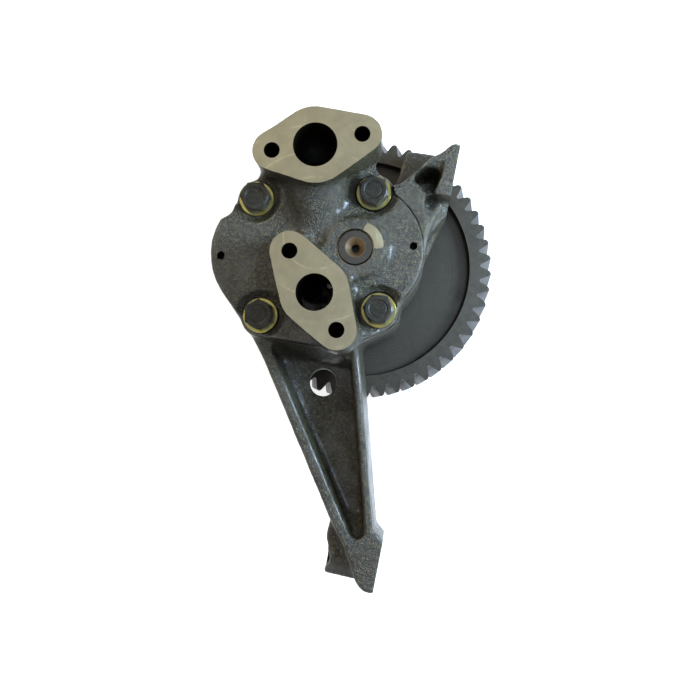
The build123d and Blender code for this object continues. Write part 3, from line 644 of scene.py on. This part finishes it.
# ---- mesh tools -----------------------------------------------------------------------------------
def post_mesh(start, end, radius, segments=96):
    """Make a closed round bar between two points."""
    start, end = Vector(start), Vector(end)
    turn = (end - start).to_track_quat("Z", "Y").to_matrix().to_4x4()
    bm = bmesh.new()
    bmesh.ops.create_cone(
        bm, cap_ends=True, segments=segments, radius1=radius, radius2=radius,
        depth=(end - start).length, matrix=Matrix.Translation((start + end) / 2) @ turn,
    )
    return bm


def prism_mesh(outline, low, high):
    """Make a closed prism over a flat outline of (x, y) points."""
    bm = bmesh.new()
    base = bm.faces.new([bm.verts.new((x, y, low)) for x, y in outline])
    base.normal_update()
    if base.normal.z > 0:
        base.normal_flip()
    grown = bmesh.ops.extrude_face_region(bm, geom=[base])
    moved = [item for item in grown["geom"] if isinstance(item, bmesh.types.BMVert)]
    bmesh.ops.translate(bm, verts=moved, vec=(0, 0, high - low))
    bmesh.ops.recalc_face_normals(bm, faces=bm.faces)
    return bm


def rounded_rectangle(centre, angle, width, height, radius, steps=8):
    """Return a rounded rectangle's outline, turned by an angle."""
    points = []
    for corner in range(4):
        sign_x = 1 if corner in (0, 3) else -1
        sign_y = 1 if corner in (0, 1) else -1
        for step in range(steps + 1):
            turn = (corner + step / steps) * math.pi / 2
            x = sign_x * (width / 2 - radius) + radius * math.cos(turn)
            y = sign_y * (height / 2 - radius) + radius * math.sin(turn)
            points.append((
                centre.x + x * math.cos(angle) - y * math.sin(angle),
                centre.y + x * math.sin(angle) + y * math.cos(angle),
            ))
    return points


def joint_rim(bm):
    """Return the edges around the cover's joint face."""
    level = JOINT_Z + FLUSH
    base = {face for face in bm.faces if all(vert.co.z < level for vert in face.verts)}
    return [edge for edge in bm.edges if sum(face in base for face in edge.link_faces) == 1]


def walk(rim):
    """Return the corners of a closed rim in order, as flat points."""
    links = {}
    for edge in rim:
        for vert in edge.verts:
            links.setdefault(vert, []).append(edge)
    loop = [max(links, key=lambda vert: vert.co.x)]
    edge = links[loop[0]][0]
    while edge.other_vert(loop[-1]) is not loop[0]:
        loop.append(edge.other_vert(loop[-1]))
        edge = next(other for other in links[loop[-1]] if other is not edge)
    return [Vector((vert.co.x, vert.co.y)) for vert in loop]


def outset(points, distance):
    """Move a closed outline outward."""
    area = sum(a.x * b.y - b.x * a.y for a, b in zip(points, points[1:] + points[:1]))
    if area < 0:
        points = points[::-1]
    moved = []
    for before, here, after in zip(points[-1:] + points[:-1], points, points[1:] + points[:1]):
        along = ((here - before).normalized() + (after - here).normalized()).normalized()
        moved.append((here.x + along.y * distance, here.y - along.x * distance))
    return moved


def cover_footprint(distance):
    """Return the outline of the cover's joint face, moved outward."""
    bm = bmesh.new()
    bm.from_mesh(NODES["pump_cover"].data)
    bmesh.ops.remove_doubles(bm, verts=bm.verts, dist=WELD)
    points = walk(joint_rim(bm))
    bm.free()
    return outset(points, distance)


def mesh_object(name, bm):
    """Turn a bmesh into a new object."""
    mesh = bpy.data.meshes.new(name)
    bm.to_mesh(mesh)
    bm.free()
    made = bpy.data.objects.new(name, mesh)
    bpy.context.scene.collection.objects.link(made)
    return made


def settle(obj):
    """Replace an object's mesh by what its modifiers make of it."""
    graph = bpy.context.evaluated_depsgraph_get()
    made = bpy.data.meshes.new_from_object(obj.evaluated_get(graph))
    old = obj.data
    obj.modifiers.clear()
    obj.data = made
    bpy.data.meshes.remove(old)


def remesh(obj, voxel):
    """Rebuild an object's surface on an even grid, which joins overlapping shells."""
    modifier = obj.modifiers.new("grid", "REMESH")
    modifier.mode = "VOXEL"
    modifier.voxel_size = voxel
    settle(obj)


def grow(obj, distance):
    """Move every vertex along its normal."""
    mesh = obj.data
    moves = [Vector(n.vector) * distance for n in mesh.vertex_normals]
    for vert, move in zip(mesh.vertices, moves):
        vert.co += move
    mesh.update()


def smooth(obj, factor, rounds):
    """Even out an object's surface."""
    modifier = obj.modifiers.new("even", "SMOOTH")
    modifier.factor = factor
    modifier.iterations = rounds
    settle(obj)


def unite(shells):
    """Join closed meshes into one cutter without inner walls."""
    base = mesh_object("cutter", shells[0])
    for shell in shells[1:]:
        other = mesh_object("cutter_part", shell)
        boolean(base, other, "UNION")
    return base


def boolean(obj, other, operation):
    """Combine an object with another one, which is then deleted."""
    modifier = obj.modifiers.new("machining", "BOOLEAN")
    modifier.operation = operation
    modifier.solver = "EXACT"
    modifier.object = other
    settle(obj)
    bpy.data.objects.remove(other)


def slice_off(obj, point, normal):
    """Mill an object flat: cut off what lies outside a plane and close the cut."""
    bm = bmesh.new()
    bm.from_mesh(obj.data)
    geometry = bm.verts[:] + bm.edges[:] + bm.faces[:]
    cut = bmesh.ops.bisect_plane(bm, geom=geometry, plane_co=point, plane_no=normal, clear_outer=True)
    rim = [item for item in cut["geom_cut"] if isinstance(item, bmesh.types.BMEdge)]
    bmesh.ops.triangle_fill(bm, edges=rim, use_beauty=True, normal=normal)
    bm.to_mesh(obj.data)
    bm.free()


# ---- castings -------------------------------------------------------------------------------------
def middle(node):
    """Return the middle of a node's box."""
    low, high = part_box(node)
    return (low + high) / 2


def along_z(centre, radius, low, face, run_on=STOCK, plug_depth=WHOLE_DEPTH):
    """Describe a round hole along Z."""
    floor, top = Vector((centre.x, centre.y, low)), Vector((centre.x, centre.y, face))
    return Hole(floor, top, radius, run_on, plug_depth)


def flange_holes(prefix):
    """Describe a flange's two blind drillings from its bolt pattern and face."""
    pattern = MOUNTS[f"{prefix}_bolts"]
    centre = Vector(pattern["pos_m"])
    half = pattern["dims"]["pcd_mm"] * MM / 2
    radius = pattern["dims"]["hole_r_mm"] * MM
    face = Vector(MOUNTS[f"{prefix}_face"]["pos_m"]) - centre
    along = Vector((face.y, -face.x, 0)).normalized()
    low = FLANGE_Z - FLANGE_HOLE_DEPTH
    return [along_z(centre + along * half * side, radius, low, FLANGE_Z + STOCK) for side in (-1, 1)]


def mount_bore(name, low, face):
    """Describe a mount's bore along Z, which the sand core leaves open below its mouth."""
    mount = MOUNTS[name]
    centre, radius = Vector(mount["pos_m"]), mount["dims"]["r_mm"] * MM
    return along_z(centre, radius, low, face, plug_depth=STOCK + CORE_MOUTH_DEPTH)


def side_bore(name):
    """Describe a mount's bore along X, out through the pad face."""
    mount = MOUNTS[name]
    centre = Vector(mount["pos_m"])
    half = mount["dims"]["length_mm"] * MM / 2
    floor = Vector((centre.x - half - STOCK, centre.y, centre.z))
    face = Vector((PAD_X + STOCK, centre.y, centre.z))
    return Hole(floor, face, mount["dims"]["r_mm"] * MM, STOCK, 2 * half)


def inlet_bore_low():
    """Return the level where the inlet's bore turns into its slanting passage."""
    mount = MOUNTS["inlet_bore"]
    return mount["pos_m"][2] - mount["dims"]["length_mm"] * MM / 2


def cover_holes():
    """List the cover's bores and drillings."""
    low, high = JOINT_Z - STOCK, FLANGE_Z + STOCK
    holes = [
        mount_bore("inlet_bore", inlet_bore_low(), high), mount_bore("outlet_bore", low, high),
        along_z(DRIVE_AXIS, SHAFT_MOUTH_R, COVER_BUSH_TOP_Z - OVERLAP, SHAFT_BOSS_Z, 5 * STOCK),
        along_z(DRIVE_AXIS, BUSH_R, low, COVER_BUSH_TOP_Z, 0.0),
        along_z(IDLER_AXIS, IDLER_PIN_R, low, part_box("idler_shaft")[1].z, 0.0),
    ]
    holes += flange_holes("inlet") + flange_holes("outlet")
    holes += [along_z(middle(f"cover_bolt_{i}"), BOLT_HOLE_R, low, BOLT_SEAT_Z) for i in BOLTS]
    holes += [along_z(middle(f"dowel_pin_{i}"), DOWEL_R, low, COVER_FRONT_Z) for i in PINS]
    return holes


def body_holes():
    """List the housing's bores and drillings, besides the gears' chamber."""
    face = JOINT_Z + STOCK
    holes = [side_bore("foot_bolt"), side_bore("ear_bolt")]
    holes.append(along_z(DRIVE_AXIS, BUSH_R, BODY_BACK_Z - STOCK, POCKET_FLOOR_Z))
    holes.append(along_z(IDLER_AXIS, IDLER_PIN_R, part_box("idler_shaft")[0].z, POCKET_FLOOR_Z))
    thread_end = JOINT_Z - BOLT_THREAD_DEPTH
    holes += [along_z(middle(f"cover_bolt_{i}"), BOLT_THREAD_R, thread_end, face) for i in BOLTS]
    for pin in (f"dowel_pin_{i}" for i in PINS):
        holes.append(along_z(middle(pin), DOWEL_R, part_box(pin)[0].z, face))
    return holes


def bore_cutter(hole):
    """Make the bar that cuts a hole and runs on past its face."""
    along = (hole.face - hole.floor).normalized()
    return post_mesh(hole.floor, hole.face + along * hole.run_on, hole.radius)


def chamber_shells(margin):
    """Make the gears' chamber: two round pockets and the port slot between them."""
    high = JOINT_Z + STOCK
    shells = []
    for axis in (DRIVE_AXIS, IDLER_AXIS):
        floor, top = (axis.x, axis.y, POCKET_FLOOR_Z), (axis.x, axis.y, high)
        shells.append(post_mesh(floor, top, POCKET_R + margin, 180))
    between = (DRIVE_AXIS + IDLER_AXIS) / 2
    angle = math.atan2(DRIVE_AXIS.y - IDLER_AXIS.y, DRIVE_AXIS.x - IDLER_AXIS.x)
    slot = rounded_rectangle(
        between, angle, CHAMBER_WIDTH + 2 * margin, CHAMBER_HEIGHT + 2 * margin, CHAMBER_ROUND + margin)
    shells.append(prism_mesh(slot, POCKET_FLOOR_Z, high))
    return shells


def add_shells(bm, shells):
    """Add closed meshes to a mesh that will be remeshed."""
    for shell in shells:
        part = bpy.data.meshes.new("shell")
        shell.to_mesh(part)
        shell.free()
        bm.from_mesh(part)
        bpy.data.meshes.remove(part)


def blank(node, stock_moves, shells):
    """Make a casting as it leaves the mould: extra stock on its faces, and its holes filled."""
    bm = bmesh.new()
    bm.from_mesh(NODES[node].data)
    bmesh.ops.remove_doubles(bm, verts=bm.verts, dist=WELD)
    for vert in bm.verts:
        for axis, low, high, move in stock_moves:
            if low < vert.co[axis] < high:
                vert.co[axis] += move
    add_shells(bm, shells)
    return mesh_object(node + "_blank", bm)


def plug(hole):
    """Make a bar that fills a hole and a little of its wall, up to its face."""
    down = hole.floor - hole.face
    floor = hole.face + down.normalized() * min(down.length, hole.plug_depth)
    return post_mesh(floor, hole.face, hole.radius + PLUG_MARGIN, 48)


def pit_places(mesh, count, seed):
    """Choose places, sizes and depths for small sand pits."""
    pick = random.Random(seed)
    pits = []
    for _ in range(count):
        place = mesh.vertices[pick.randrange(len(mesh.vertices))].co.copy()
        pits.append((place, pick.uniform(0.9, 1.9) * MM, pick.uniform(0.2, 0.55) * MM))
    return pits


def roughen(obj, seed):
    """Give a casting its slow waviness, sand roughness and pits."""
    mesh = obj.data
    wave_size, ripple_size, sand_size = 17.0 * MM, 5.0 * MM, 1.7 * MM
    waviness, roughness = castings().waviness, castings().roughness
    normals = [Vector(n.vector) for n in mesh.vertex_normals]
    pits = pit_places(mesh, castings().pits, seed)
    shift = Vector((seed * 3.1, 0.0, 0.0))
    for vert, normal in zip(mesh.vertices, normals):
        place = vert.co
        move = waviness * 0.6 * noise.noise(place / wave_size + shift)
        move += waviness * 0.5 * noise.noise(place / ripple_size + shift)
        move += roughness * noise.noise(place / sand_size + shift)
        for centre, size, depth in pits:
            apart = (place - centre).length
            if apart < size:
                move -= depth * (1 - (apart / size) ** 2)
        vert.co = place + normal * move
    mesh.update()


def cast(obj, fillet, seed):
    """Turn a blank into a sand casting: even grid, filleted inner corners, uneven skin."""
    voxel = castings().voxel
    remesh(obj, voxel)
    grow(obj, fillet)
    remesh(obj, voxel)
    grow(obj, -fillet)
    remesh(obj, voxel)
    smooth(obj, 0.5, 5)
    roughen(obj, seed)


def in_hole(place, hole):
    """Tell whether a point lies on the wall or floor of a hole."""
    along = (hole.face - hole.floor).normalized()
    reach = (place - hole.floor).dot(along)
    if reach < -WALL_SLACK or reach > (hole.face - hole.floor).length + WALL_SLACK:
        return False
    return ((place - hole.floor) - along * reach).length < hole.radius + WALL_SLACK


def dress_casting(obj, holes, is_milled):
    """Give a machined casting its three materials and its crisp cut edges."""
    for name in ("oily_cast_iron", "milled_iron", "bore_shade_iron"):
        obj.data.materials.append(FINISHES[name])
    for face in obj.data.polygons:
        if is_milled(face.center, face.normal):
            face.material_index = 1
        # Faces on a hole's wall or floor get the painted bore shade.
        elif any(in_hole(face.center, hole) for hole in holes):
            face.material_index = 2
    obj.data.shade_smooth()
    obj.data.set_sharp_from_angle(angle=CREASE_ANGLE)


def take_place(piece, node):
    """Let a piece stand for a node on the housing."""
    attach(piece, "housing")
    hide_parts(node)


def make_housing():
    """Cast the housing, then mill its pads and joint face and bore its holes."""
    holes = body_holes()
    moves = [(X, PAD_X - NEAR, PAD_X + NEAR, STOCK), (Z, JOINT_Z - NEAR, JOINT_Z + NEAR, STOCK)]
    crown_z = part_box("pump_body")[1].z
    shells = [plug(hole) for hole in holes] + chamber_shells(PLUG_MARGIN)
    shells.append(prism_mesh(cover_footprint(-FILLED_INSET), JOINT_Z + STOCK - OVERLAP, crown_z))
    piece = blank("pump_body", moves, shells)
    cast(piece, castings().fillet, 1)
    cutters = [prism_mesh(cover_footprint(COVER_CLEARANCE), JOINT_Z, crown_z + 2 * STOCK)]
    cutters += chamber_shells(0.0) + [bore_cutter(hole) for hole in holes]
    slice_off(piece, (PAD_X, 0, 0), (1, 0, 0))
    boolean(piece, unite(cutters), "DIFFERENCE")
    piece.name = piece.data.name = "housing_casting"
    dress_casting(piece, holes, lambda place, normal: place.x > PAD_X - 2 * FLUSH and normal.x > 0.9)
    take_place(piece, "pump_body")


def seat_cutters():
    """Make the cutters that face the four bolt seats."""
    cutters = []
    for number in BOLTS:
        centre = middle(f"flat_washer_{number}")
        low, high = (centre.x, centre.y, BOLT_SEAT_Z), (centre.x, centre.y, BOLT_SEAT_Z + SEAT_DEPTH)
        cutters.append(post_mesh(low, high, SEAT_R))
    return cutters


def crescent_cutter():
    """Make the cutter that skims one side of the shaft's boss, down to a bright crescent."""
    centre = DRIVE_AXIS + SPOT_OFFSET
    low, high = SHAFT_BOSS_Z - SPOT_DEPTH, SHAFT_BOSS_Z + SPOT_HEADROOM
    return post_mesh((centre.x, centre.y, low), (centre.x, centre.y, high), SPOT_R, 128)


def make_cover():
    """Cast the cover, then mill its flanges and joint face and bore its holes."""
    holes = cover_holes()
    moves = [(Z, FLANGE_Z - NEAR, FLANGE_Z + NEAR, STOCK), (Z, JOINT_Z - NEAR, JOINT_Z + NEAR, -STOCK)]
    piece = blank("pump_cover", moves, [plug(hole) for hole in holes])
    cast(piece, castings().cover_fillet, 2)
    slice_off(piece, (0, 0, FLANGE_Z), (0, 0, 1))
    slice_off(piece, (0, 0, JOINT_Z), (0, 0, -1))
    boolean(piece, unite([bore_cutter(hole) for hole in holes] + seat_cutters()), "DIFFERENCE")
    boolean(piece, mesh_object("cutter", crescent_cutter()), "DIFFERENCE")
    piece.name = piece.data.name = "cover_casting"
    levels = (FLANGE_Z, SHAFT_BOSS_Z - SPOT_DEPTH)
    # These holes, and the inlet bore's cylinder down to the joint face, get the painted bore shade.
    dark = holes + [mount_bore("inlet_bore", JOINT_Z, FLANGE_Z)]

    def is_milled(place, normal):
        return normal.z > 0.99 and min(abs(place.z - level) for level in levels) < FLUSH

    dress_casting(piece, dark, is_milled)
    take_place(piece, "pump_cover")


# ---- operators ------------------------------------------------------------------------------------
class OILPUMP_OT_housing(bpy.types.Operator):
    """Cast and machine the pump housing with its leg, foot and ear"""

    bl_idname = "oil_pump.housing"
    bl_label = "Make Housing"

    def execute(self, context):
        make_housing()
        return {"FINISHED"}


class OILPUMP_OT_cover(bpy.types.Operator):
    """Cast and machine the ported cover"""

    bl_idname = "oil_pump.cover"
    bl_label = "Make Cover"

    def execute(self, context):
        make_cover()
        return {"FINISHED"}


class OILPUMP_OT_drive_gear(bpy.types.Operator):
    """Finish the helical drive gear"""

    bl_idname = "oil_pump.drive_gear"
    bl_label = "Finish Drive Gear"

    def execute(self, context):
        finish_node("drive_gear", "oiled_gear_steel")
        return {"FINISHED"}


class OILPUMP_OT_rotors(bpy.types.Operator):
    """Finish the shafts, pumping gears, keys, nut and dowels"""

    bl_idname = "oil_pump.rotors"
    bl_label = "Finish Shafts and Gears"

    def execute(self, context):
        finish_node("drive_shaft", "shaft_end_steel")
        for node in ("idler_shaft", "driver_gear", "idler_gear"):
            finish_node(node, "ground_steel")
        for node in ("drive_gear_key", "driver_gear_key", "drive_gear_nut", "drive_gear_lock_washer"):
            finish_node(node, "dark_spring_steel")
        # The dowel pins get the painted bore shade too.
        for number in PINS:
            finish_node(f"dowel_pin_{number}", "bore_shade_iron")
        return {"FINISHED"}


class OILPUMP_OT_bearings(bpy.types.Operator):
    """Finish the bronze bushes and the thrust washer"""

    bl_idname = "oil_pump.bearings"
    bl_label = "Finish Bearings"

    def execute(self, context):
        for node in ("body_bush", "cover_bush", "idler_bush", "thrust_washer"):
            finish_node(node, "turned_bronze")
        return {"FINISHED"}


class OILPUMP_OT_fasteners(bpy.types.Operator):
    """Finish the four cover bolts with their flat and spring washers"""

    bl_idname = "oil_pump.fasteners"
    bl_label = "Finish Fasteners"

    def execute(self, context):
        for number in BOLTS:
            finish_node(f"cover_bolt_{number}", "black_oxide")
            finish_node(f"flat_washer_{number}", "yellow_zinc")
            finish_node(f"spring_washer_{number}", "dark_spring_steel")
        return {"FINISHED"}


# ---- stage ----------------------------------------------------------------------------------------
WHITE = (1.0, 1.0, 1.0, 1.0)
FLOOR_GREY = (0.6, 0.6, 0.6, 1.0)
FLOOR_HALF_SIZE = 1.6
COOL_LIGHT, WARM_LIGHT = (0.56, 0.76, 1.0), (1.0, 0.85, 0.56)
CAMERA_PLACE = (0.0457, -0.0918, 0.6250)
CAMERA_RIGHT = (0.9788, 0.1965, -0.0574)
CAMERA_UP = (-0.1926, 0.979, 0.0664)
CAMERA_LENS, CAMERA_SENSOR = 43.54, 36.0


def seen_ray(tree):
    """Return 1 for rays that see the background: camera, glossy and transmission rays."""
    path = tree.node("ShaderNodeLightPath").outputs
    seen = tree.math("MAXIMUM", path["Is Camera Ray"], path["Is Glossy Ray"])
    return tree.math("MAXIMUM", seen, path["Is Transmission Ray"])


def make_world():
    """Make even light from all sides behind a white background."""
    world = bpy.data.worlds.new("plain_sky")
    world.use_nodes = True
    tree = Tree(world.node_tree)
    background = world.node_tree.nodes["Background"]
    background.inputs["Color"].default_value = WHITE
    sky = bpy.context.scene.oil_pump_stage.sky
    strength = tree.math("ADD", tree.math("MULTIPLY", seen_ray(tree), 1.0 - sky), sky)
    tree.feed(background.inputs["Strength"], strength)
    bpy.context.scene.world = world


def make_floor():
    """Make the white floor, which keeps the object's shadow."""
    bm = bmesh.new()
    bmesh.ops.create_grid(bm, x_segments=1, y_segments=1, size=FLOOR_HALF_SIZE)
    floor = mesh_object("floor", bm)
    floor.location.z = CAD_BOX[0].z - NEAR
    finish = Finish("white_floor", 0.0, specular=0.2)
    glow = finish.math("MULTIPLY", seen_ray(finish), bpy.context.scene.oil_pump_stage.floor_glow)
    finish.feed(finish.shader.inputs["Emission Color"], WHITE)
    finish.feed(finish.shader.inputs["Emission Strength"], glow)
    floor.data.materials.append(finish.surface(FLOOR_GREY, 0.7))


def make_lamp(name, place, power, size, color):
    """Make a square lamp that points at the pump."""
    lamp = bpy.data.lights.new(name, "AREA")
    lamp.energy = power
    lamp.size = size
    lamp.color = color
    made = bpy.data.objects.new(name, lamp)
    bpy.context.scene.collection.objects.link(made)
    target = (CAD_BOX[0] + CAD_BOX[1]) / 2
    made.location = place
    made.rotation_euler = (Vector(place) - target).to_track_quat("Z", "Y").to_euler()


def make_camera():
    """Make the camera that looks down on the ported cover."""
    data = bpy.data.cameras.new("front_view")
    data.lens = CAMERA_LENS
    data.sensor_width = CAMERA_SENSOR
    camera = bpy.data.objects.new("front_view", data)
    bpy.context.scene.collection.objects.link(camera)
    right = Vector(CAMERA_RIGHT).normalized()
    up = Vector(CAMERA_UP)
    up = (up - right * up.dot(right)).normalized()
    turn = Matrix((right, up, right.cross(up))).transposed().to_4x4()
    camera.matrix_world = Matrix.Translation(CAMERA_PLACE) @ turn
    bpy.context.scene.camera = camera


class OILPUMP_OT_stage(bpy.types.Operator):
    """Set up the floor, the lamps, the sky and the camera"""

    bl_idname = "oil_pump.stage"
    bl_label = "Set Up Stage"

    def execute(self, context):
        settings = context.scene.oil_pump_stage
        make_world()
        make_floor()
        make_lamp("key_lamp", (0.36, 0.09, 0.27), settings.key_power, 0.18, COOL_LIGHT)
        make_lamp("sheen_lamp", (0.27, 0.04, 0.60), settings.sheen_power, 0.26, COOL_LIGHT)
        make_lamp("fill_lamp", (-0.50, 0.35, 0.62), settings.fill_power, 0.5, WARM_LIGHT)
        make_camera()
        context.scene.view_settings.view_transform = "Standard"
        return {"FINISHED"}


class OILPUMP_PT_panel(bpy.types.Panel):
    """The oil pump's panel in the sidebar"""

    bl_idname = "OILPUMP_PT_panel"
    bl_label = "Oil Pump"
    bl_space_type = "VIEW_3D"
    bl_region_type = "UI"
    bl_category = "Oil Pump"

    def draw(self, context):
        layout = self.layout
        scene = context.scene
        for group in (scene.oil_pump_castings, scene.oil_pump_steels, scene.oil_pump_stage):
            box = layout.box()
            for name in group.__annotations__:
                box.prop(group, name)
        for operator in OPERATORS:
            layout.operator(operator.bl_idname)


OPERATORS = (
    OILPUMP_OT_stage, OILPUMP_OT_housing, OILPUMP_OT_cover, OILPUMP_OT_drive_gear, OILPUMP_OT_rotors,
    OILPUMP_OT_bearings, OILPUMP_OT_fasteners,
)
SETTINGS = {
    "oil_pump_castings": CastingSettings, "oil_pump_steels": SteelSettings, "oil_pump_stage": StageSettings,
}


def register():
    """Register the settings, operators and panel."""
    for name, settings in SETTINGS.items():
        bpy.utils.register_class(settings)
        setattr(bpy.types.Scene, name, PointerProperty(type=settings))
    for operator in OPERATORS:
        bpy.utils.register_class(operator)
    bpy.utils.register_class(OILPUMP_PT_panel)


def unregister():
    """Take the settings, operators and panel away again."""
    bpy.utils.unregister_class(OILPUMP_PT_panel)
    for operator in reversed(OPERATORS):
        bpy.utils.unregister_class(operator)
    for name, settings in SETTINGS.items():
        delattr(bpy.types.Scene, name)
        bpy.utils.unregister_class(settings)


def main():
    """Register the add-on and run its operators in order."""
    register()
    build_groups()
    build_finishes()
    for operator in OPERATORS:
        area, name = operator.bl_idname.split(".")
        getattr(getattr(bpy.ops, area), name)()


if __name__ == "__main__":
    main()
